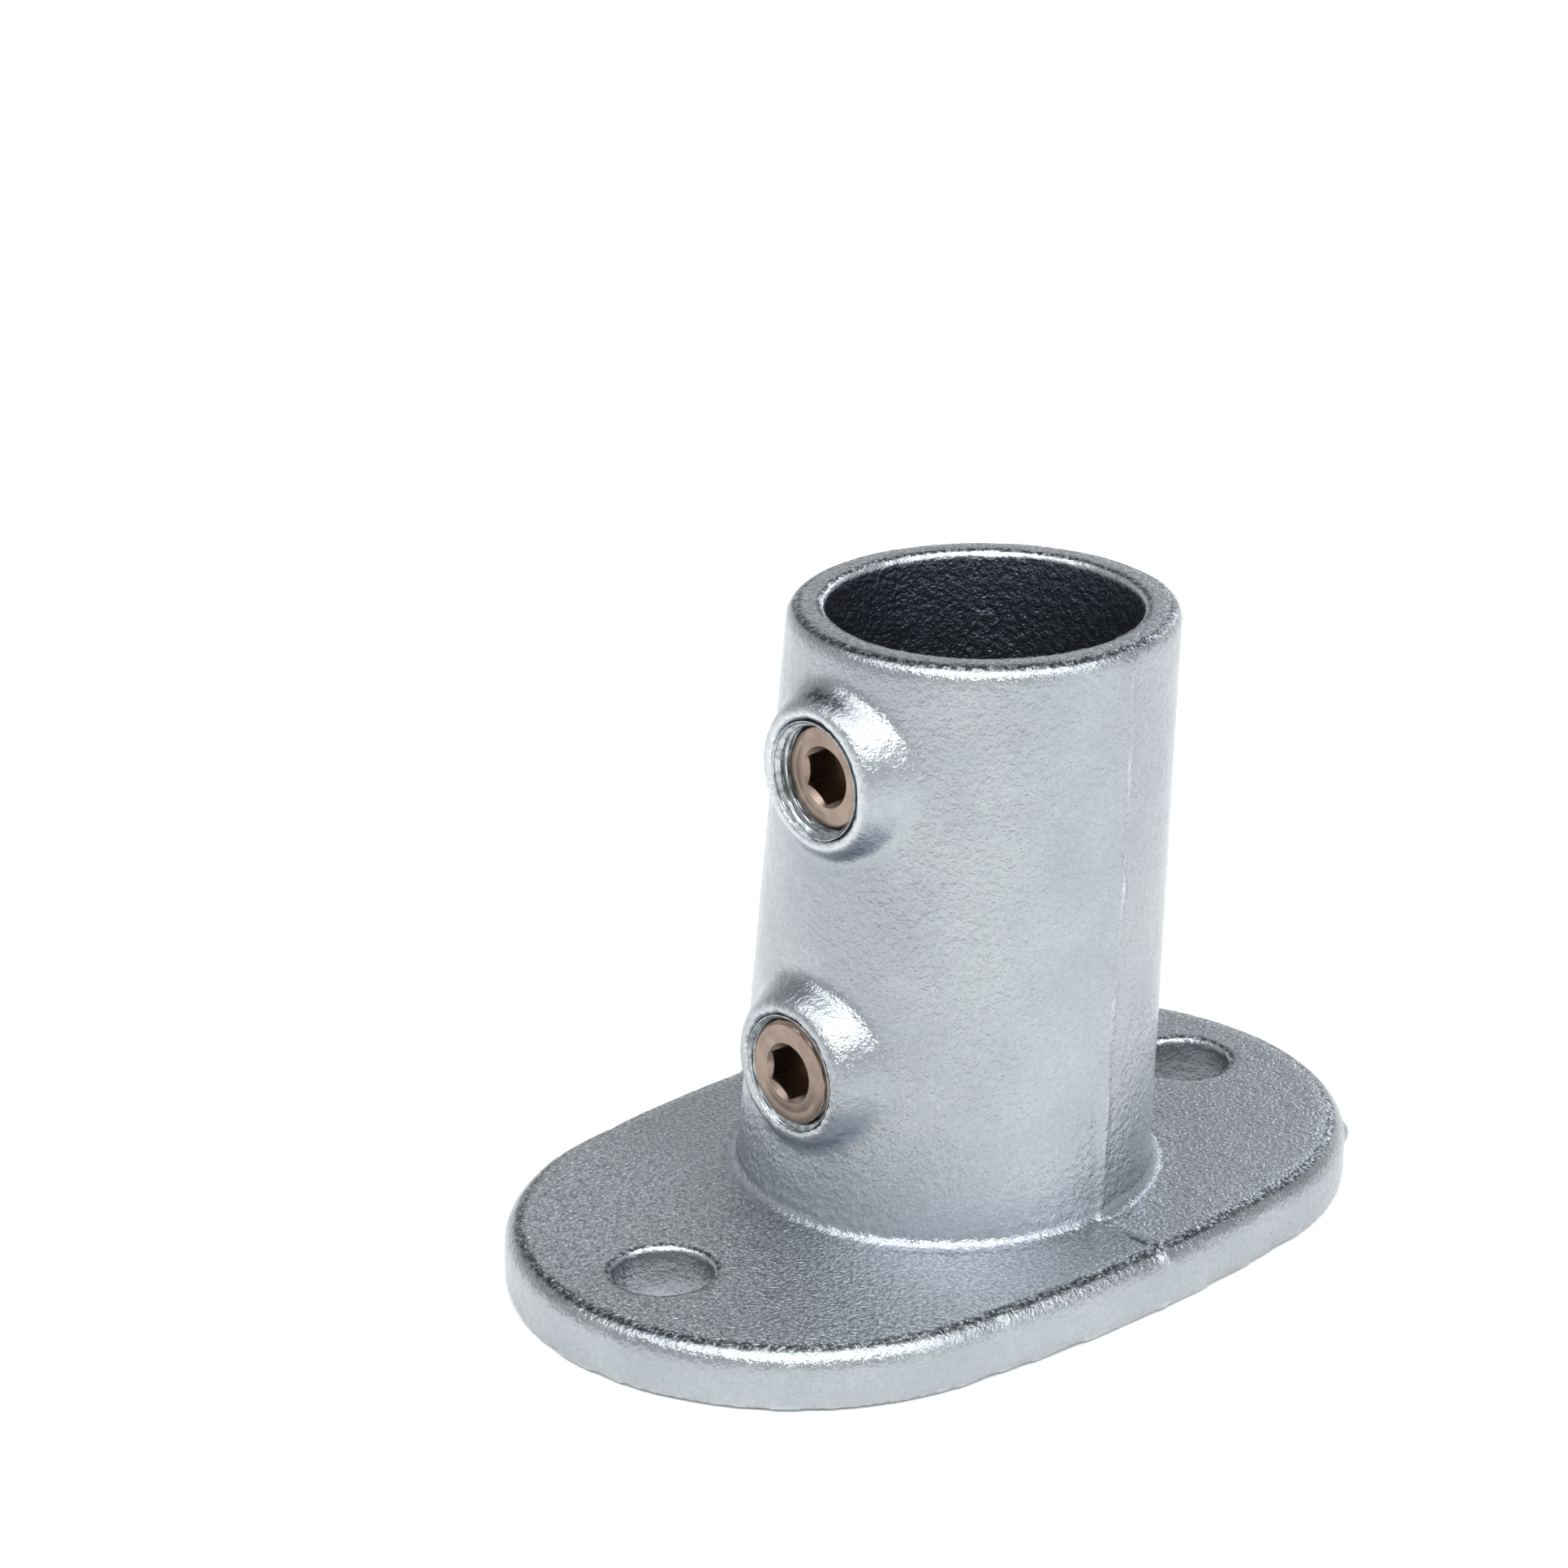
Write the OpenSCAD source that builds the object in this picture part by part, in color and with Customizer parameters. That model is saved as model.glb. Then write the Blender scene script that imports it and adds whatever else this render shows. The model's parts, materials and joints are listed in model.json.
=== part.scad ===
// Railing base flange: an oval two-hole foot with a leaning pipe socket and two
// hexagon-socket set screws. Lengths are in millimetres and angles in degrees.
// X runs along the foot, the set screws face -X, and the underside lies on Z = 0.

/* [Foot plate] */
// Length of the oval foot
plate_l = 150; // [124:0.5:182]
// Width of the oval foot across its middle
plate_w = 96.5; // [94:0.5:118]
// How far each long side bows out past the end circles
side_bow = 2.2; // [1:0.1:4]
// Thickness of the foot
plate_t = 10; // [8:0.5:14]
// Radius of the rounded upper edge of the foot
plate_edge_r = 3.5; // [1:0.5:5]
// Diameter of the two anchor holes
anchor_d = 15.6; // [12:0.1:18.8]
// Distance from an anchor hole's centre to the end of the foot
anchor_inset = 18; // [15:0.5:21]

/* [Pipe socket] */
// Outside diameter of the pipe that the socket takes
pipe_d = 48.3; // [40:0.1:58]
// Clearance all round the pipe in the socket
pipe_gap = 0.35; // [0.2:0.05:0.8]
// Wall of the socket at its rim
wall_t = 5.85; // [4.8:0.05:7.2]
// Height of the rim above the underside
socket_h = 101.5; // [84:0.5:122]
// Lean of the socket away from the set screws
socket_lean = 5; // [0:0.5:8]
// Casting draft on the outside of the socket
draft = 1.65; // [0.5:0.05:2.5]
// Offset of the socket's axis from the middle of the foot, at the underside
socket_x = 1.1; // [0:0.1:4]
// Rounding of the rim's outer edge
rim_edge_r = 2.5; // [1:0.1:3.5]
// Height of the seat that stops the pipe, along the socket's axis
seat_h = 8; // [6.5:0.1:9.6]
// Width of the seat's ledge all round
seat_ledge = 5.5; // [3:0.5:8]
// Leg of the sloped foot round the socket, where it meets the plate
foot_leg = 2.2; // [1.5:0.1:6]

/* [Screw bosses] */
// Diameter of a boss's flat face
boss_face_d = 24.4; // [22:0.1:29.3]
// Height of a boss above the socket's wall
boss_proud = 3.3; // [2.6:0.1:4]
// Slope of a boss's side away from its axis
boss_flare = 30; // [20:1:36]
// Bevel of a boss's outer edge
boss_bevel = 1.2; // [0.8:0.1:1.5]
// Height of the lower screw above the underside
lower_screw_h = 34.8; // [29:0.1:40]
// Depth of the upper screw below the rim
upper_screw_drop = 20.1; // [18.5:0.1:24.2]

/* [Set screws] */
// Diameter over the screw's thread
screw_d = 16.66; // [13.8:0.01:18]
// Length of a set screw
screw_len = 6; // [5:0.1:6.2]
// Running clearance all round the screw in its tapped hole
thread_gap = 0.05; // [0.02:0.01:0.1]
// Key size across the flats of the hexagon socket
key_af = 8; // [6.6:0.1:9.6]
// Metal left under the hexagon socket
key_floor = 1.9; // [1.7:0.1:2.2]
// Width of the bevel at the screw's outer edge
screw_bevel = 0.7; // [0.4:0.1:1]
// Bevel of the tapped hole's mouth
mouth_bevel = 0.8; // [0.4:0.1:1.2]
// Depth of the upper screw inside its boss's face
upper_recess = 2.6; // [1:0.1:2.8]
// Depth of the lower screw inside its boss's face
lower_recess = 0.2; // [0:0.1:2]

/* [Hidden] */
$fn = 96;

// Overlap that carries a cut past the surface it opens
past = 1;

// The end discs stand this much past the circles that the side arcs touch, so that they cross them
end_lap = 0.1;

// The oval is two end circles and two flat side arcs
end_r = plate_w / 2 - side_bow;
end_x = plate_l / 2 - end_r - end_lap;
side_r = (end_x * end_x + plate_w * plate_w / 4 - end_r * end_r) / (2 * side_bow);
side_y = side_r - plate_w / 2;

anchor_x = plate_l / 2 - anchor_inset;

bore_r = pipe_d / 2 + pipe_gap;
rim_r = bore_r + wall_t;
axis_len = socket_h / cos(socket_lean);
rim_x = socket_x + socket_h * tan(socket_lean);
// Radius of the upright round that the rim's rounding is turned on
cap_r = rim_r / cos(socket_lean) + (tan(socket_lean) + tan(draft)) * rim_edge_r;

screw_r = screw_d / 2;
tapped_r = screw_r + thread_gap;
upper_screw_h = socket_h - upper_screw_drop;

// Where the socket's axis stands at a height
function axis_x(z) = socket_x + z * tan(socket_lean);
// Outside radius of the socket at a height
function socket_r(z) = rim_r + tan(draft) * (socket_h - z) / cos(socket_lean);
// X of the flat face of a boss whose screw is at a height
function face_x(z) = axis_x(z) - socket_r(z) - boss_proud;

module along_socket() {
    translate([socket_x, 0, 0]) rotate([0, socket_lean, 0]) children();
}

module along_screw(x, z) {
    translate([x, 0, z]) rotate([0, 90, 0]) children();
}

// A disc with a rounded upper edge
module rounded_disc(r) {
    rotate_extrude() {
        square([r - plate_edge_r, plate_t]);
        square([r, plate_t - plate_edge_r]);
        translate([r - plate_edge_r, plate_t - plate_edge_r]) circle(plate_edge_r);
    }
}

// The bowed middle of the foot, between two wide discs and cut off inside the round ends
module foot_middle() {
    intersection() {
        translate([0, -side_y, 0]) rounded_disc(side_r);
        translate([0, side_y, 0]) rounded_disc(side_r);
        translate([-end_x, -plate_w, -past]) cube([2 * end_x, 2 * plate_w, plate_t + 2 * past]);
    }
}

module plate() {
    for (side = [-1, 1]) translate([side * end_x, 0, 0]) rounded_disc(end_r + end_lap);
    foot_middle();
}

// The tapered, leaning socket, cut level at the rim
module socket_body() {
    over = 2 * rim_edge_r + rim_r * tan(socket_lean);
    intersection() {
        along_socket()
            cylinder(h = axis_len + over, r1 = rim_r + tan(draft) * axis_len, r2 = rim_r - tan(draft) * over);
        translate([rim_x, 0, plate_t / 2]) rotate_extrude() {
            square([2 * cap_r, socket_h - plate_t / 2 - rim_edge_r]);
            square([cap_r - rim_edge_r, socket_h - plate_t / 2]);
            translate([cap_r - rim_edge_r, socket_h - plate_t / 2 - rim_edge_r]) circle(rim_edge_r);
        }
    }
}

// The level sloped collar where the socket meets the foot. It runs on inside the socket's wall.
module socket_foot() {
    low = plate_t / 2;
    top = plate_t + foot_leg + wall_t / 2;
    edge_r = socket_r(plate_t) + foot_leg;
    translate([axis_x(plate_t), 0, low])
        cylinder(h = top - low, r1 = edge_r + plate_t - low, r2 = edge_r + plate_t - top);
}

// A round boss that carries one set screw
module boss(z) {
    depth = boss_proud + socket_r(z) - bore_r + wall_t / 2;
    face_r = boss_face_d / 2;
    along_screw(face_x(z), z) rotate_extrude()
        polygon([[0, 0], [face_r - boss_bevel, 0], [face_r, boss_bevel],
                 [face_r + tan(boss_flare) * (depth - boss_bevel), depth], [0, depth]]);
}

// The hole that a set screw runs in, from the boss's face into the bore
module tapped_hole(z) {
    depth = boss_proud + socket_r(z) - sqrt(bore_r * bore_r - tapped_r * tapped_r) + past;
    along_screw(face_x(z) - past, z) cylinder(h = depth + past, r = tapped_r);
    along_screw(face_x(z) - past, z)
        cylinder(h = past + mouth_bevel, r1 = tapped_r + past + mouth_bevel, r2 = tapped_r);
}

module pipe_bore() {
    along_socket() translate([0, 0, seat_h]) cylinder(h = axis_len, r = bore_r);
    along_socket() translate([0, 0, -bore_r]) cylinder(h = axis_len, r = bore_r - seat_ledge);
}

module flange_casting() {
    color([0.69, 0.72, 0.74]) difference() {
        union() {
            plate();
            socket_foot();
            socket_body();
            boss(lower_screw_h);
            boss(upper_screw_h);
        }
        pipe_bore();
        tapped_hole(lower_screw_h);
        tapped_hole(upper_screw_h);
        for (side = [-1, 1]) translate([side * anchor_x, 0, -past])
            cylinder(h = plate_t + 2 * past, r = anchor_d / 2);
    }
}

// A headless screw with its key socket at -X and a cup point at +X
module set_screw(x, z) {
    key_r = key_af / sqrt(3);
    cup_r = screw_r / 2;
    tip_bevel = 1.2;
    sink = 0.6;
    color([0.59, 0.49, 0.41]) along_screw(x, z) difference() {
        rotate_extrude()
            polygon([[0, 0], [screw_r - screw_bevel, 0], [screw_r, screw_bevel],
                     [screw_r, screw_len - tip_bevel], [screw_r - tip_bevel, screw_len], [0, screw_len]]);
        translate([0, 0, -past]) cylinder(h = screw_len - key_floor + past, r = key_r, $fn = 6);
        translate([0, 0, -past]) cylinder(h = past + sink, r1 = key_r + past, r2 = key_r - sink);
        translate([0, 0, screw_len - 1]) cylinder(h = 2, r1 = cup_r - 1, r2 = cup_r + 1);
    }
}

module upper_set_screw() {
    set_screw(face_x(upper_screw_h) + upper_recess, upper_screw_h);
}

module lower_set_screw() {
    set_screw(face_x(lower_screw_h) + lower_recess, lower_screw_h);
}

flange_casting();
upper_set_screw();
lower_set_screw();
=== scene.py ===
"""Railing base flange: a galvanised casting with a leaning pipe socket and two set screws.

Lengths are in metres. X runs along the foot, the set screws face -X and the underside lies on Z = 0.
"""

import json
import math

import bpy
from mathutils import Euler, Matrix, Vector


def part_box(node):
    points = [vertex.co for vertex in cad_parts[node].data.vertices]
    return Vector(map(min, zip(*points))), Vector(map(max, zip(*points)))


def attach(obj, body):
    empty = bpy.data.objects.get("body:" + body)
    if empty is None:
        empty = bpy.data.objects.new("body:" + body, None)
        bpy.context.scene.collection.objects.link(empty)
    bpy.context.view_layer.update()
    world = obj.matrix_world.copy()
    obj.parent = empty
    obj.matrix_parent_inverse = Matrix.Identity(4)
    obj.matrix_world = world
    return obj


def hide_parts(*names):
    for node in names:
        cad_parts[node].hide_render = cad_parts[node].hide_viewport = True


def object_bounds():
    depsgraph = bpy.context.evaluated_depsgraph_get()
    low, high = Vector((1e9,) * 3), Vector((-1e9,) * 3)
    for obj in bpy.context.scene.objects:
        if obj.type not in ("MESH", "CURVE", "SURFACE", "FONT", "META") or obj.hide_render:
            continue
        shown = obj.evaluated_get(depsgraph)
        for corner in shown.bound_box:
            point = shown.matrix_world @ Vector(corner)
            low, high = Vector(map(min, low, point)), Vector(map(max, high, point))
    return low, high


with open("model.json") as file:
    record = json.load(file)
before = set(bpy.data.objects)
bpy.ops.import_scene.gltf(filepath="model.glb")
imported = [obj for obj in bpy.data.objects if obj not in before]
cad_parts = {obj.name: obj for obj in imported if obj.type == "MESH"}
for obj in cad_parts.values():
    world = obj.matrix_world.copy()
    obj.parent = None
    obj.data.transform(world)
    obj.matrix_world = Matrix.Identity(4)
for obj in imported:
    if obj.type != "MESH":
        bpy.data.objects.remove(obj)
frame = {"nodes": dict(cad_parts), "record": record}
cad_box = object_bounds()

bl_info = {
    "name": "Railing base flange",
    "version": (1, 0, 0),
    "blender": (4, 5, 0),
    "location": "View3D > Sidebar > Base flange",
    "description": "Models the looks of a galvanised railing base flange round its fixed frame",
    "category": "Object",
}

MM = 0.001

PIPE_SOCKET = next(m for m in frame["record"]["mounts"] if m["name"] == "pipe_socket")
SOCKET_POINT = Vector(PIPE_SOCKET["pos_m"])
SOCKET_AXIS = Vector(PIPE_SOCKET["axis"]).normalized()
LEAN = math.atan2(SOCKET_AXIS.x, SOCKET_AXIS.z)
BORE_R = PIPE_SOCKET["dims"]["r_mm"] * MM
RIM_Z = cad_box[1].z
SCREWS = {"upper": "upper_set_screw", "lower": "lower_set_screw"}

NUB_PLACE = Vector((62.5, -31.5, 5.4)) * MM
AIM = Vector((-5.14, 3.93, 40.76)) * MM
CAMERA_SHIFT = (-0.0705, 0.1273)

# Name, place and size in metres, power in watts, and tint of each lamp.
LAMPS = (
    ("key", (-0.75, -0.75, 0.95), 0.36, 5.2, "FFFFFF"),
    ("fill", (0.25, -1.2, 0.55), 0.4, 2.4, "F4F8FF"),
    ("top", (0.1, 0.1, 1.3), 0.45, 2.5, "FFFFFF"),
    ("rim", (1.1, 0.35, 0.6), 0.4, 2.2, "EFF5FF"),
)

# Fixed tones, and the light of the bright band overhead. The edge tone is partly worn zinc and partly painted
# highlight; the crevice and overhang tones are painted shade, the outline tone is a painted dark reflection,
# and the bore's light tone speckles its painted shade.
WORN_EDGE_HIGHLIGHT = "DADDDE"
CREVICE_SHADE = "7C848D"
OVERHANG_SHADE = "848C99"
SPECK_ZINC = "7E8488"
SAND_DARK = "92999D"
SAND_LIGHT = "C6CBCE"
EDGE_REFLECTION_DARK = "2B2F31"
PIT_ZINC = "5E6468"
BORE_SHADE_LIGHT = "6C727B"
CUT_LIGHT = "B4B9BB"
CUT_HAZE = "8A9194"
STEEL_STAIN = "83736A"
HIGH_WORLD = "85898C"
OVERHEAD_LIGHT = (3.5, 3.52, 3.56)


def linear(hex_colour):
    """Linear red, green and blue of an sRGB hex colour."""
    values = [int(hex_colour[i : i + 2], 16) / 255 for i in (0, 2, 4)]
    return tuple(v / 12.92 if v <= 0.04045 else ((v + 0.055) / 1.055) ** 2.4 for v in values)


def length(name, description, default):
    return bpy.props.FloatProperty(
        name=name, description=description, default=default, unit="LENGTH", precision=5
    )


def angle(name, description, degrees):
    return bpy.props.FloatProperty(
        name=name, description=description, default=math.radians(degrees), subtype="ANGLE"
    )


def colour(name, description, hex_colour):
    return bpy.props.FloatVectorProperty(
        name=name, description=description, default=linear(hex_colour), subtype="COLOR", min=0, max=1
    )


class CastingSettings(bpy.types.PropertyGroup):
    plate_t: length("Foot thickness", "Thickness of the oval foot", 10 * MM)
    wall_t: length("Socket wall", "Wall of the socket at its rim", 5.85 * MM)
    draft: angle("Draft", "Casting draft of the socket", 1.65)
    boss_proud: length("Boss height", "Height of a boss above the socket's wall", 3.3 * MM)
    root_r: length("Root fillet", "Radius of the hollow fillet round the socket's root", 2.2 * MM)
    skin_step: length("Skin step", "Edge length of the skin's even mesh", 0.87 * MM)
    seam_height: length("Seam height", "How far the mould's seam stands out", 0.75 * MM)
    seam_width: length("Seam width", "Half the width of the mould's seam", 1.1 * MM)
    nub: length("Nub", "Height of the gate's broken stub on the edge of the foot", 0.9 * MM)
    waviness: length("Waviness", "Depth of the broad unevenness left by the sand mould", 0.16 * MM)
    zinc_light: colour("Light zinc", "Bright parts of the galvanised skin", "A6ABAD")
    zinc_dark: colour("Dull zinc", "Duller, older parts of the galvanised skin", "9BA0A4")
    zinc_blue: colour("Blue zinc", "Cold tint where the zinc ran thick", "A5ABB7")
    # Dark bore tone: partly darker zinc, partly painted shade of the deep hole.
    bore_dark: colour("Bore", "Dark sooty inside of the socket", "585C65")


class ScrewSettings(bpy.types.PropertyGroup):
    pitch: length("Pitch", "Pitch of the parallel pipe thread, 19 to the inch", 25.4 / 19 * MM)
    thread_depth: length("Thread depth", "Depth of the thread", 0.75 * MM)
    key_af: length("Key size", "Size of the hexagon key across its flats", 8 * MM)
    key_floor: length("Socket floor", "Metal left under the hexagon socket", 1.9 * MM)
    bevel: length("Bevel", "Width of the bevel at a screw's face", 0.75 * MM)
    mouth: length("Mouth bevel", "Bevel of a tapped hole's mouth", 0.8 * MM)
    sleeve_r: length("Tapped ring radius", "Outer radius of the clean metal round a thread", 9.3 * MM)
    steel: colour("Bronzed steel", "Turned face of a screw", "98877A")
    # Painted shade deep in each hexagon socket.
    key_shade: colour("Shaded steel", "Shaded hollows of a screw", "4A3B30")


class StageSettings(bpy.types.PropertyGroup):
    camera_distance: length("Camera distance", "From the aim point to the camera", 748.6 * MM)
    camera_lens: bpy.props.FloatProperty(name="Lens", description="Focal length in mm", default=109.5)
    azimuth: angle("Azimuth", "Camera's direction round Z", -43.15)
    elevation: angle("Elevation", "Camera's height angle", 23.77)
    roll: angle("Roll", "Camera's turn about its own line", 0.17)
    floor: colour("Floor", "Plain pale floor", "F8F8F8")
    world: colour("World", "Even light of the room", "E8E9EA")


def deselect():
    bpy.ops.object.select_all(action="DESELECT")


def only(piece):
    """Makes one object the selected and active one."""
    deselect()
    piece.select_set(True)
    bpy.context.view_layer.objects.active = piece
    return piece


def named(name):
    piece = bpy.context.active_object
    piece.name = piece.data.name = name
    return piece


def settle(piece):
    """Puts the object's place into its mesh."""
    only(piece)
    bpy.ops.object.transform_apply(location=True, rotation=True, scale=True)
    return piece


def modified(piece, kind, **settings):
    """Adds one modifier, sets it and applies it."""
    only(piece)
    bpy.ops.object.modifier_add(type=kind)
    modifier = piece.modifiers[-1]
    for key, value in settings.items():
        setattr(modifier, key, value)
    bpy.ops.object.modifier_apply(modifier=modifier.name)
    return piece


def combined(piece, tool, operation="DIFFERENCE"):
    """Cuts, joins or keeps the shared part of two closed solids, and removes the tool."""
    modified(piece, "BOOLEAN", object=tool, operation=operation, solver="EXACT")
    bpy.data.objects.remove(tool)
    return piece


def checked(piece):
    """Stops the work if a piece is empty or has an open or doubled edge."""
    only(piece)
    bpy.ops.object.mode_set(mode="EDIT")
    bpy.ops.mesh.select_mode(type="EDGE")
    bpy.ops.mesh.select_all(action="DESELECT")
    bpy.ops.mesh.select_non_manifold()
    bpy.ops.object.mode_set(mode="OBJECT")
    faults = sum(edge.select for edge in piece.data.edges)
    if faults or not piece.data.polygons:
        raise RuntimeError(f"{piece.name} has {faults} open edges and {len(piece.data.polygons)} faces")
    return piece


def cleaned(piece, reach=1e-6):
    """Merges doubles and turns the faces outwards."""
    only(piece)
    bpy.ops.object.mode_set(mode="EDIT")
    bpy.ops.mesh.select_all(action="SELECT")
    bpy.ops.mesh.remove_doubles(threshold=reach)
    bpy.ops.mesh.normals_make_consistent(inside=False)
    bpy.ops.object.mode_set(mode="OBJECT")
    return piece


def drawn(name, points):
    """A line drawn point by point, each point extruded from the one before."""
    deselect()
    bpy.ops.mesh.primitive_plane_add(size=MM, location=points[0])
    piece = settle(named(name))
    bpy.ops.object.mode_set(mode="EDIT")
    bpy.ops.mesh.select_mode(type="VERT")
    bpy.ops.mesh.select_all(action="SELECT")
    bpy.ops.mesh.merge(type="CENTER")
    for start, end in zip(points, points[1:]):
        step = Vector(end) - Vector(start)
        bpy.ops.mesh.extrude_vertices_move(TRANSFORM_OT_translate={"value": step})
    bpy.ops.object.mode_set(mode="OBJECT")
    return piece


def turned(name, profile, centre, steps=96):
    """A solid turned about a line along X through centre. The profile is (distance along X, radius)."""
    piece = drawn(name, [centre + Vector((along, 0, r)) for along, r in profile])
    bpy.ops.object.mode_set(mode="EDIT")
    bpy.ops.mesh.select_all(action="SELECT")
    bpy.ops.mesh.spin(steps=steps, angle=math.tau, center=centre, axis=(1, 0, 0))
    bpy.ops.object.mode_set(mode="OBJECT")
    return cleaned(piece)


def rod(name, radius, low, high, centre, vertices=96, turn=0.0):
    """A plain bar along X, from low to high past centre."""
    deselect()
    middle = centre + Vector(((low + high) / 2, 0, 0))
    bpy.ops.mesh.primitive_cylinder_add(vertices=vertices, radius=radius, depth=high - low, location=middle)
    piece = named(name)
    piece.data.transform(Matrix.Rotation(math.pi / 2, 4, "Y") @ Matrix.Rotation(turn, 4, "Z"))
    return settle(piece)


def threaded_rod(name, crest_r, root_r, pitch, low, high, centre):
    """A closed bar along X whose skin is drawn in along a right-hand helix."""
    rings_a_turn = 14
    flat = 0.16
    rings = math.ceil((high - low) / pitch * rings_a_turn)
    side = [(low + (high - low) * i / rings, crest_r) for i in range(rings + 1)]
    piece = turned(name, [(low, 0), *side, (high, 0)], centre)
    for vertex in piece.data.vertices:
        along, y, z = vertex.co - centre
        if math.hypot(y, z) < crest_r / 2:
            continue
        phase = (along / pitch - math.atan2(z, y) / math.tau) % 1.0
        from_crest = abs(phase - 0.5) * 2
        depth = min(max((from_crest - flat) / (1 - 2 * flat), 0.0), 1.0) * (crest_r - root_r)
        shrink = 1 - depth / crest_r
        vertex.co = centre + Vector((along, y * shrink, z * shrink))
    return piece


def axis_x(z):
    """X of the socket's axis at a height."""
    return SOCKET_POINT.x + (z - SOCKET_POINT.z) * math.tan(LEAN)


def socket_r(z, casting):
    """Outside radius of the socket at a height."""
    return BORE_R + casting.wall_t + math.tan(casting.draft) * (RIM_Z - z) / math.cos(LEAN)


def from_axis(co):
    """How far a point is from the socket's leaning axis."""
    return (co - SOCKET_POINT).cross(SOCKET_AXIS).length


def fade(value, full, none):
    """1 at full, 0 at none, and a smooth change between them."""
    t = min(max((value - none) / (full - none), 0.0), 1.0)
    return t * t * (3 - 2 * t)


def screw_box(which):
    """Place of one set screw: the middle of its outer face, and its length."""
    low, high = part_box(SCREWS[which])
    return Vector((low.x, (low.y + high.y) / 2, (low.z + high.z) / 2)), high.x - low.x, (high.z - low.z) / 2


def face_x(which, casting):
    """X of the flat face of a boss."""
    z = screw_box(which)[0].z
    return axis_x(z) - socket_r(z, casting) - casting.boss_proud


def weighted(piece, name, rule):
    """Paints a vertex group by a rule on each point."""
    group = piece.vertex_groups.new(name=name)
    for vertex in piece.data.vertices:
        weight = rule(vertex.co)
        if weight > 0.001:
            group.add([vertex.index], weight, "REPLACE")
    return name


def clouds(name, size, depth=2):
    texture = bpy.data.textures.new(name, "CLOUDS")
    texture.noise_scale = size
    texture.noise_depth = depth
    return texture


def added(tree, kind, inputs=None, **settings):
    """Adds a node with its settings, and links or sets its inputs."""
    node = tree.nodes.new("ShaderNode" + kind)
    for key, value in settings.items():
        setattr(node, key, value)
    for key, value in (inputs or {}).items():
        if isinstance(value, bpy.types.NodeSocket):
            tree.links.new(value, node.inputs[key])
        else:
            node.inputs[key].default_value = value
    return node


def new_material(name):
    material = bpy.data.materials.new(name)
    material.use_nodes = True
    material.node_tree.nodes.clear()
    return material, material.node_tree


def worked(tree, operation, *values, clamp=False):
    """The result of one sum on numbers or sockets."""
    node = added(tree, "Math", dict(enumerate(values)), operation=operation, use_clamp=clamp)
    return node.outputs[0]


def product(tree, first, *others):
    """The product of numbers or sockets, multiplied from left to right."""
    for other in others:
        first = worked(tree, "MULTIPLY", first, other)
    return first


def summed(tree, base, *terms):
    """A base plus each value times its weight."""
    for value, weight in terms:
        base = worked(tree, "MULTIPLY_ADD", value, weight, base)
    return base


def ramped(tree, value, start, end):
    """0 below start, 1 above end, smooth between."""
    node = added(
        tree,
        "MapRange",
        {"Value": value, "From Min": start, "From Max": end},
        interpolation_type="SMOOTHSTEP",
    )
    return node.outputs["Result"]


def mixed(tree, factor, first, second):
    node = added(tree, "Mix", data_type="RGBA", clamp_factor=True)
    for key, value in ((0, factor), (6, first), (7, second)):
        if isinstance(value, bpy.types.NodeSocket):
            tree.links.new(value, node.inputs[key])
        elif key == 0:
            node.inputs[key].default_value = value
        else:
            node.inputs[key].default_value = (*value, 1)
    return node.outputs[2]


def parted(tree, vector):
    """The X, Y and Z sockets of a vector."""
    return added(tree, "SeparateXYZ", {"Vector": vector}).outputs


def moved(tree, vector, origin):
    """A vector counted from another origin."""
    return added(tree, "Mapping", {"Vector": vector, "Location": tuple(-origin)}).outputs[0]


def distance(tree, vector, first, second):
    """How far a point is from a line through the origin, from its two parts across that line."""
    parts = parted(tree, vector)
    squares = [product(tree, parts[part], parts[part]) for part in (first, second)]
    return worked(tree, "SQRT", worked(tree, "ADD", *squares))


def bumped(tree, height, depth, strength, base=None):
    """A normal raised by a height, on top of another normal if one is given."""
    inputs = {"Height": height, "Distance": depth, "Strength": strength}
    if base is not None:
        inputs["Normal"] = base
    return added(tree, "Bump", inputs).outputs["Normal"]


def surfaced(tree, inputs):
    """Ends a material's tree in one shader."""
    shader = added(tree, "BsdfPrincipled", inputs)
    added(tree, "OutputMaterial", {"Surface": shader.outputs[0]})


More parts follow.
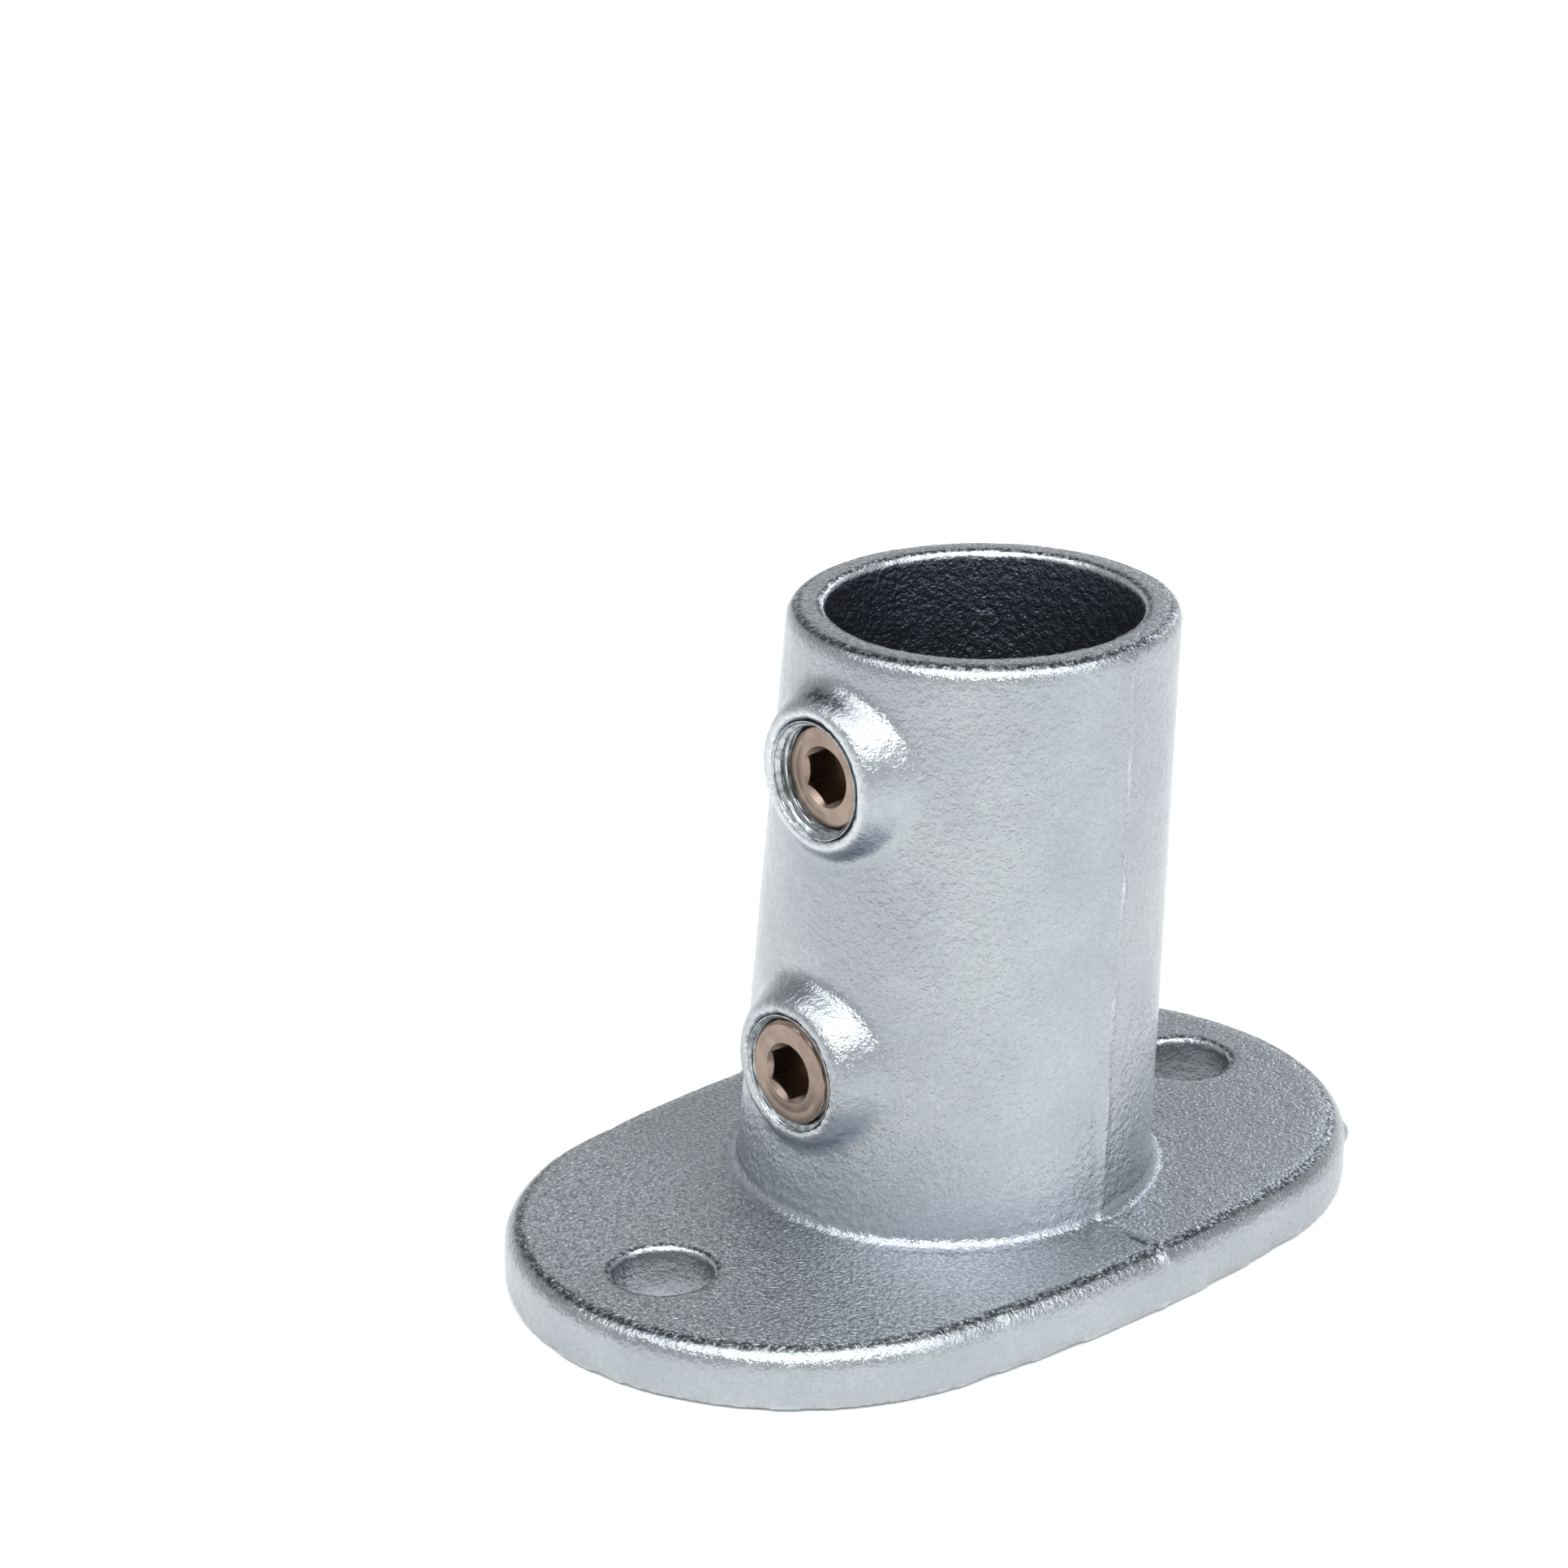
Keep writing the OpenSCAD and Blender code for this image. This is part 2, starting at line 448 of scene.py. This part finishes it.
def galvanised_zinc(casting):
    """Hot-dip galvanised malleable iron, sand cast: satin cold grey, pebbled, duller and darker
    on the open top of the foot, bright on rounds (partly worn zinc, partly painted highlight),
    with painted shade in creases and under the bosses, a painted dark reflection line along level edges,
    and dark inside the socket (partly darker zinc, partly painted shade)."""
    material, tree = new_material("galvanised_cast_iron")
    place = added(tree, "TexCoord")
    spot = place.outputs["Object"]
    place_parts = parted(tree, spot)
    height = place_parts["Z"]
    facing_parts = parted(tree, place.outputs["Normal"])
    up = facing_parts["Z"]

    def noise(size, detail=2.0, rough=0.5):
        inputs = {"Vector": spot, "Scale": 1 / size, "Detail": detail, "Roughness": rough}
        return added(tree, "TexNoise", inputs).outputs["Fac"]

    pebbles = noise(1.1 * MM, 3.0, 0.6)
    grain = noise(0.42 * MM, 1.0)
    blotches = noise(16 * MM, 2.0)
    sand = noise(0.62 * MM, 2.0, 0.6)
    clouds_fine = noise(2.5 * MM, 3.0, 0.65)
    specks = ramped(tree, noise(0.8 * MM, 3.0, 0.8), 0.4, 0.54)
    pits = ramped(tree, noise(0.75 * MM, 2.0, 0.7), 0.52, 0.64)

    from_point = moved(tree, spot, SOCKET_POINT)
    upright = added(
        tree, "VectorRotate", {"Vector": from_point, "Angle": -LEAN}, rotation_type="Y_AXIS"
    ).outputs[0]
    reach = distance(tree, upright, "X", "Y")

    # Dark bore, partly darker zinc and partly painted shade of the deep hole: inside the wall, with a ragged
    # edge, and below the rim.
    ragged = worked(tree, "MULTIPLY_ADD", clouds_fine, 0.5 * MM, reach)
    wavy_height = worked(tree, "MULTIPLY_ADD", blotches, 1.6 * MM, height)
    inside = product(
        tree,
        ramped(tree, ragged, BORE_R + 0.85 * MM, BORE_R + 0.4 * MM),
        ramped(tree, wavy_height, RIM_Z - 0.1 * MM, RIM_Z - 0.7 * MM),
    )

    # Level faces that point up: the foot's top, and the rim.
    level = ramped(tree, up, 0.9, 0.985)
    low_down = ramped(tree, height, casting.plate_t + 0.9 * MM, casting.plate_t + 0.3 * MM)
    on_foot = product(tree, level, low_down)
    on_rim = product(tree, level, ramped(tree, height, RIM_Z - 1 * MM, RIM_Z))
    flat_top = worked(tree, "MAXIMUM", on_foot, on_rim)
    screw_side = ramped(tree, place_parts["X"], -20 * MM, -44 * MM)
    coarse_foot = product(tree, on_foot, screw_side)

    # Painted reflection: a dark speckled line where a level face rolls over its edge, standing in for the
    # dark room mirrored there. None at the socket's root.
    rolled = product(tree, ramped(tree, up, 0.76, 0.88), ramped(tree, up, 0.9985, 0.975))
    off_root = worked(
        tree,
        "MAXIMUM",
        ramped(tree, reach, BORE_R + 15 * MM, BORE_R + 17 * MM),
        ramped(tree, height, 60 * MM, 70 * MM),
    )
    dark_reflection_line = product(tree, rolled, off_root, specks)

    near_root = product(
        tree,
        ramped(tree, height, 32 * MM, 12 * MM),
        ramped(tree, height, casting.plate_t - 1 * MM, casting.plate_t + 1 * MM),
    )
    rough_half = product(tree, ramped(tree, facing_parts["X"], -0.2, 0.5), ramped(tree, up, 0.7, 0.4))
    bosses = 0.0
    facing = ramped(tree, parted(tree, upright)["X"], -19 * MM, -23 * MM)
    for which in SCREWS:
        round_screw = moved(tree, spot, screw_box(which)[0])
        ring = ramped(tree, distance(tree, round_screw, "Y", "Z"), 18 * MM, 15 * MM)
        bosses = worked(tree, "MAXIMUM", bosses, product(tree, ring, facing))

    sharpness = added(tree, "NewGeometry").outputs["Pointiness"]
    # Convex rounds painted lighter: partly worn zinc, partly painted highlight.
    proud = ramped(tree, sharpness, 0.515, 0.56)
    # Concave creases painted darker: painted shade.
    crevice_shade = ramped(tree, sharpness, 0.485, 0.45)
    # Faces turned down under the bosses painted darker and bluer: painted shadow.
    overhang_shade = product(tree, ramped(tree, up, -0.12, -0.4), bosses)

    tone = mixed(tree, ramped(tree, blotches, 0.3, 0.75), casting.zinc_light, casting.zinc_dark)
    dull = mixed(tree, ramped(tree, sand, 0.38, 0.62), linear(SAND_DARK), linear(SAND_LIGHT))
    for where, amount, over in (
        (proud, 0.8, linear(WORN_EDGE_HIGHLIGHT)),
        (crevice_shade, 0.45, linear(CREVICE_SHADE)),
        (overhang_shade, 0.7, linear(OVERHANG_SHADE)),
        (near_root, 0.6, casting.zinc_blue),
        (specks, 0.2, linear(SPECK_ZINC)),
        (flat_top, 0.8, dull),
        (dark_reflection_line, 0.9, linear(EDGE_REFLECTION_DARK)),
        (product(tree, coarse_foot, pits), 0.7, linear(PIT_ZINC)),
    ):
        tone = mixed(tree, product(tree, where, amount), tone, over)
    # Painted shade of the deep bore, partly darker zinc, with lighter speckles on the pebbles.
    shaded = mixed(tree, ramped(tree, pebbles, 0.5, 0.7), casting.bore_dark, linear(BORE_SHADE_LIGHT))
    tone = mixed(tree, inside, tone, shaded)

    rough = summed(tree, 0.2, (clouds_fine, 0.14), (inside, 0.04), (bosses, 0.03))
    strength = summed(
        tree,
        0.7,
        (on_foot, -0.1),
        (coarse_foot, 0.9),
        (on_rim, 0.2),
        (rough_half, 0.8),
        (near_root, 0.25),
        (inside, 0.6),
    )
    relief = worked(tree, "MULTIPLY_ADD", flat_top, worked(tree, "SUBTRACT", sand, pebbles), pebbles)
    coarse = bumped(tree, relief, 0.3 * MM, strength, bumped(tree, grain, 0.09 * MM, 0.9))
    surfaced(tree, {"Base Color": tone, "Metallic": 0.92, "Roughness": rough, "Normal": coarse})
    return material


def tapped_zinc():
    """The same casting where it was tapped after the dip: bright cut metal with a thin zinc haze."""
    material, tree = new_material("tapped_cast_iron")
    spot = added(tree, "TexCoord").outputs["Object"]
    haze = added(tree, "TexNoise", {"Vector": spot, "Scale": 1 / (1.1 * MM), "Detail": 4.0}).outputs["Fac"]
    tone = mixed(tree, ramped(tree, haze, 0.42, 0.62), linear(CUT_LIGHT), linear(CUT_HAZE))
    rough = summed(tree, 0.2, (haze, 0.2))
    bump = bumped(tree, haze, 0.05 * MM, 0.4)
    surfaced(tree, {"Base Color": tone, "Metallic": 0.95, "Roughness": rough, "Normal": bump})
    return material


def bronzed_steel(name, screws, face):
    """Case-hardened turned steel with a brown coat: fine turning rings, and painted shade deep in the
    hexagon.
    """
    material, tree = new_material(name)
    spot = added(tree, "TexCoord").outputs["Object"]
    local = moved(tree, spot, face)
    depth = parted(tree, local)["X"]
    radius = distance(tree, local, "Y", "Z")
    ring_step = 0.28 * MM
    turning = worked(tree, "SINE", product(tree, radius, math.tau / ring_step))
    stains = added(tree, "TexNoise", {"Vector": spot, "Scale": 1 / (3 * MM), "Detail": 3.0}).outputs["Fac"]
    hole_r = screws.key_af / math.sqrt(3)
    # Painted shade deep in the hexagon socket.
    in_key = product(
        tree,
        ramped(tree, radius, hole_r + 0.1 * MM, hole_r - 0.1 * MM),
        ramped(tree, depth, 0.5 * MM, 1.1 * MM),
    )
    tone = mixed(tree, ramped(tree, stains, 0.3, 0.75), screws.steel, linear(STEEL_STAIN))
    tone = mixed(tree, in_key, tone, screws.key_shade)
    rough = summed(tree, 0.24, (stains, 0.12))
    bump = bumped(tree, turning, 0.006 * MM, 0.6)
    surfaced(tree, {"Base Color": tone, "Metallic": 0.95, "Roughness": rough, "Normal": bump})
    return material


def finished(piece, material, body):
    """Gives a piece its material and body."""
    piece.data.materials.clear()
    piece.data.materials.append(material)
    piece.vertex_groups.clear()
    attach(piece, body)


class STANCHION_OT_casting(bpy.types.Operator):
    """Models the casting's skin: soft fillets, mould seam and sand-cast unevenness"""

    bl_idname = "stanchion.casting"
    bl_label = "Casting skin"

    def execute(self, context):
        casting = context.scene.stanchion_casting
        screws = context.scene.stanchion_screws
        deselect()
        skin = frame["nodes"]["flange_casting"].copy()
        skin.data = skin.data.copy()
        skin.name = skin.data.name = "casting_skin"
        skin.parent = None
        context.collection.objects.link(skin)
        cleaned(skin)
        for which in SCREWS:
            face = screw_box(which)[0]
            front = face_x(which, casting) - face.x
            room = rod("tapped_room", screws.sleeve_r, front - 2 * MM, front + 14 * MM, face)
            combined(skin, room)
        modified(skin, "REMESH", mode="VOXEL", voxel_size=casting.skin_step)
        self.soften(skin, casting)
        self.hollow_root(skin, casting)
        self.roughen(skin, casting)
        self.keep_in_box(skin)
        only(skin)
        bpy.ops.object.shade_smooth()
        finished(skin, galvanised_zinc(casting), "casting")
        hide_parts("flange_casting")
        return {"FINISHED"}

    def soften(self, skin, casting):
        """Rounds the root of the socket and the lower edge, and eases every other edge a little."""

        def at_root(co):
            rise = abs(co.z - casting.plate_t - 1 * MM)
            ring = abs(from_axis(co) - socket_r(co.z, casting) - 1 * MM)
            return fade(rise, 1.2 * MM, 3 * MM) * fade(ring, 1.6 * MM, 3.4 * MM)

        def at_ground(co):
            return fade(co.z, 0.8 * MM, 1.8 * MM)

        weighted(skin, "root", at_root)
        weighted(skin, "ground", at_ground)
        for group, rounds in (("", 2), ("ground", 12), ("root", 2)):
            modified(skin, "SMOOTH", factor=0.5, iterations=rounds, vertex_group=group)

    def hollow_root(self, skin, casting):
        """Presses the sloping foot of the socket back into a hollow fillet."""
        r = casting.root_r
        slack = 0.4 * MM
        nearest = 0.3 * r
        for vertex in skin.data.vertices:
            co = vertex.co
            out = from_axis(co) - socket_r(co.z, casting)
            rise = co.z - casting.plate_t
            if not (-slack < out < r and -slack < rise < r):
                continue
            reach = math.hypot(r - out, r - rise)
            if reach < r:
                inward = (co - SOCKET_POINT).cross(SOCKET_AXIS).cross(SOCKET_AXIS).normalized()
                stretch = r / max(reach, nearest) - 1
                co += inward * ((r - out) * stretch) - Vector((0, 0, (r - rise) * stretch))

    def roughen(self, skin, casting):
        """Raises the gate's stub, the mould seam and the unevenness of the sand mould."""

        def on_seam(co):
            if co.z < 0.5 * MM or from_axis(co) < BORE_R + 2 * MM:
                return 0.0
            wander = 0.35 * MM * math.sin(co.z / (9 * MM)) + 0.2 * MM * math.sin(co.z / (2.3 * MM))
            offset = 2 * MM * (1 if co.y < 0 else -0.5)
            off = abs(co.x - axis_x(co.z) - offset - wander)
            strength = 0.7 + 0.3 * math.sin(co.z / (3.1 * MM))
            return fade(off, 0.0, casting.seam_width) * strength * fade(co.z, RIM_Z - 5 * MM, RIM_Z - 1 * MM)

        def off_ground(co):
            return fade(co.z, 1.5 * MM, 0.4 * MM)

        def on_nub(co):
            return fade((co - NUB_PLACE).length, 0.4 * MM, 2.4 * MM)

        weighted(skin, "nub", on_nub)
        modified(skin, "DISPLACE", strength=casting.nub, mid_level=0.0, vertex_group="nub")
        weighted(skin, "seam", on_seam)
        weighted(skin, "off_ground", off_ground)
        modified(skin, "DISPLACE", strength=casting.seam_height, mid_level=0.0, vertex_group="seam")
        for name, size, depth in (
            ("sand_waves", 11 * MM, casting.waviness),
            ("sand_grain", 2.2 * MM, 0.13 * MM),
        ):
            modified(
                skin,
                "DISPLACE",
                texture=clouds(name, size),
                texture_coords="LOCAL",
                strength=depth,
                mid_level=0.6,
                vertex_group="off_ground",
            )

    def keep_in_box(self, skin):
        """Keeps the skin inside the frame's box and its underside flat."""
        low, high = cad_box
        flat_below = 0.12 * MM
        for vertex in skin.data.vertices:
            for axis in range(3):
                vertex.co[axis] = min(max(vertex.co[axis], low[axis]), high[axis])
            if vertex.co.z < flat_below:
                vertex.co.z = 0.0


class STANCHION_OT_thread_sleeves(bpy.types.Operator):
    """Models the clean tapped thread in each boss"""

    bl_idname = "stanchion.thread_sleeves"
    bl_label = "Tapped threads"

    def execute(self, context):
        casting = context.scene.stanchion_casting
        screws = context.scene.stanchion_screws
        metal = tapped_zinc()
        for which in SCREWS:
            face, _, screw_r = screw_box(which)
            start = face_x(which, casting) - face.x + 0.25 * MM
            depth = casting.boss_proud + socket_r(face.z, casting) - BORE_R + 1.5 * MM
            end = start + depth
            crest = screw_r + 0.04 * MM
            outer = screws.sleeve_r
            inner = crest - 1 * MM
            before = start - 1 * MM
            wall = [(start, inner), (start, outer), (end, outer), (end, inner), (start, inner)]
            ring = turned(which + "_tapped_thread", wall, face)
            root = crest + screws.thread_depth
            combined(ring, threaded_rod("groove", root, crest, screws.pitch, before, end + 1 * MM, face))
            bevel_end = start + screws.mouth
            cone = [(before, 0), (before, crest + screws.mouth + 1 * MM), (bevel_end, crest), (bevel_end, 0)]
            combined(ring, turned("mouth", cone, face))
            deselect()
            bpy.ops.mesh.primitive_cylinder_add(
                vertices=128, radius=BORE_R, depth=4 * BORE_R, location=SOCKET_POINT, rotation=(0, LEAN, 0)
            )
            combined(ring, settle(named("pipe_room")))
            checked(cleaned(ring))
            bpy.ops.object.shade_smooth_by_angle(angle=math.radians(35))
            finished(ring, metal, "casting")
        return {"FINISHED"}


class STANCHION_OT_set_screws(bpy.types.Operator):
    """Models the two set screws with their threads, hexagon sockets and cup points"""

    bl_idname = "stanchion.set_screws"
    bl_label = "Set screws"

    def execute(self, context):
        screws = context.scene.stanchion_screws
        for which, node in SCREWS.items():
            face, screw_len, screw_r = screw_box(which)
            screw = self.blank(which + "_screw_threaded", screws, face, screw_len, screw_r)
            key_r = screws.key_af / math.sqrt(3)
            key = rod("key", key_r, -1 * MM, screw_len - screws.key_floor, face, vertices=6, turn=math.pi / 6)
            combined(screw, key)
            sink_end = 0.75 * MM
            sink = [(-1 * MM, 0), (-1 * MM, key_r + 1.35 * MM), (sink_end, key_r - 0.6 * MM), (sink_end, 0)]
            combined(screw, turned("sink", sink, face))
            root = screw_r - screws.thread_depth
            thread = threaded_rod("thread", screw_r, root, screws.pitch, -1 * MM, screw_len + 1 * MM, face)
            combined(screw, thread, "INTERSECT")
            checked(cleaned(screw))
            bpy.ops.object.shade_smooth_by_angle(angle=math.radians(30))
            steel = bronzed_steel(which + "_bronzed_steel", screws, face)
            finished(screw, steel, which + "_screw")
            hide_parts(node)
        return {"FINISHED"}

    def blank(self, name, screws, face, screw_len, screw_r):
        """The turned bar with its bevels, face ring and cup point."""
        b = screws.bevel
        wide = screw_r + 0.1 * MM
        groove = [(0, screw_r - 2.1 * MM), (0.04 * MM, screw_r - 1.9 * MM), (0, screw_r - 1.7 * MM)]
        rounded = [(b * (1 - math.cos(a)), screw_r - b + b * math.sin(a)) for a in (0, 0.35, 0.8, 1.25)]
        side = [(b * 1.3, wide), (screw_len - 1.3 * MM, wide), (screw_len, screw_r - 1.2 * MM)]
        cup = [(screw_len, screw_r * 0.62), (screw_len - 1.1 * MM, screw_r * 0.48), (screw_len - 1.4 * MM, 0)]
        return turned(name, [(0, 0), *groove, *rounded, *side, *cup], face)


class STANCHION_OT_stage(bpy.types.Operator):
    """Makes the floor, the soft lights and the camera"""

    bl_idname = "stanchion.stage"
    bl_label = "Stage"

    def execute(self, context):
        stage = context.scene.stanchion_stage
        self.floor(stage)
        self.world(context.scene, stage)
        for name, place, size, power, tint in LAMPS:
            deselect()
            bpy.ops.object.light_add(type="AREA", location=place)
            light = named(name)
            light.data.size = size
            light.data.energy = power
            light.data.color = linear(tint)
            light.rotation_euler = (AIM - Vector(place)).to_track_quat("-Z", "Y").to_euler()
        self.camera(context.scene, stage)
        return {"FINISHED"}

    def floor(self, stage):
        deselect()
        below = (0, 0, -0.2 * MM)
        bpy.ops.mesh.primitive_circle_add(vertices=128, radius=6, fill_type="NGON", location=below)
        floor = settle(named("floor"))
        material, tree = new_material("pale_floor")
        spot = added(tree, "TexCoord").outputs["Object"]
        mottle = added(tree, "TexNoise", {"Vector": spot, "Scale": 9.0, "Detail": 3.0}).outputs["Fac"]
        tone = mixed(tree, mottle, stage.floor, [0.98 * c for c in stage.floor])
        glow = {"Emission Color": (1, 1, 1, 1), "Emission Strength": 0.06}
        surfaced(tree, {"Base Color": tone, "Roughness": 0.75, **glow})
        floor.data.materials.append(material)

    def world(self, scene, stage):
        world = bpy.data.worlds.new("studio")
        world.use_nodes = True
        tree = world.node_tree
        tree.nodes.clear()
        towards = parted(tree, added(tree, "TexCoord").outputs["Generated"])
        rise = towards["Z"]
        tone = mixed(tree, ramped(tree, rise, 0.12, 0.6), stage.world, linear(HIGH_WORLD))
        front = ramped(tree, worked(tree, "ADD", towards["X"], towards["Y"]), 0.1, -0.1)
        overhead = product(tree, ramped(tree, rise, 0.56, 0.66), ramped(tree, rise, 0.985, 0.95), front)
        tone = mixed(tree, overhead, tone, OVERHEAD_LIGHT)
        tone = mixed(tree, ramped(tree, rise, 0.05, 0.03), tone, (1.0, 1.0, 1.0))
        sky = added(tree, "Background", {"Color": tone, "Strength": 1.0})
        added(tree, "OutputWorld", {"Surface": sky.outputs[0]})
        scene.world = world

    def camera(self, scene, stage):
        a, e = stage.azimuth, stage.elevation
        back = Vector((math.sin(a) * math.cos(e), -math.cos(a) * math.cos(e), math.sin(e)))
        deselect()
        bpy.ops.object.camera_add(location=AIM + back * stage.camera_distance)
        camera = named("camera")
        turn = (-back).to_track_quat("-Z", "Y") @ Euler((0, 0, stage.roll)).to_quaternion()
        camera.rotation_euler = turn.to_euler()
        camera.data.sensor_width = 36
        camera.data.lens = stage.camera_lens
        camera.data.shift_x, camera.data.shift_y = CAMERA_SHIFT
        camera.data.clip_start = 10 * MM
        camera.data.clip_end = 20
        scene.camera = camera
        scene.view_settings.view_transform = "Standard"


class STANCHION_PT_panel(bpy.types.Panel):
    """Lists the flange's pieces and their settings"""

    bl_idname = "STANCHION_PT_panel"
    bl_label = "Base flange"
    bl_space_type = "VIEW_3D"
    bl_region_type = "UI"
    bl_category = "Base flange"

    def draw(self, context):
        for title, operator, settings in STEPS:
            box = self.layout.box()
            box.operator(operator, text=title)
            if settings:
                group = getattr(context.scene, settings)
                for key in group.bl_rna.properties.keys():
                    if key not in ("rna_type", "name"):
                        box.prop(group, key)


STEPS = (
    ("Casting skin", "stanchion.casting", "stanchion_casting"),
    ("Tapped threads", "stanchion.thread_sleeves", ""),
    ("Set screws", "stanchion.set_screws", "stanchion_screws"),
    ("Stage", "stanchion.stage", "stanchion_stage"),
)
GROUPS = {
    "stanchion_casting": CastingSettings,
    "stanchion_screws": ScrewSettings,
    "stanchion_stage": StageSettings,
}
CLASSES = (
    CastingSettings,
    ScrewSettings,
    StageSettings,
    STANCHION_OT_casting,
    STANCHION_OT_thread_sleeves,
    STANCHION_OT_set_screws,
    STANCHION_OT_stage,
    STANCHION_PT_panel,
)


def register():
    for cls in CLASSES:
        bpy.utils.register_class(cls)
    for name, group in GROUPS.items():
        setattr(bpy.types.Scene, name, bpy.props.PointerProperty(type=group))


def unregister():
    for name in GROUPS:
        delattr(bpy.types.Scene, name)
    for cls in reversed(CLASSES):
        bpy.utils.unregister_class(cls)


def main():
    register()
    bpy.ops.stanchion.casting()
    bpy.ops.stanchion.thread_sleeves()
    bpy.ops.stanchion.set_screws()
    bpy.ops.stanchion.stage()


if __name__ == "__main__":
    main()
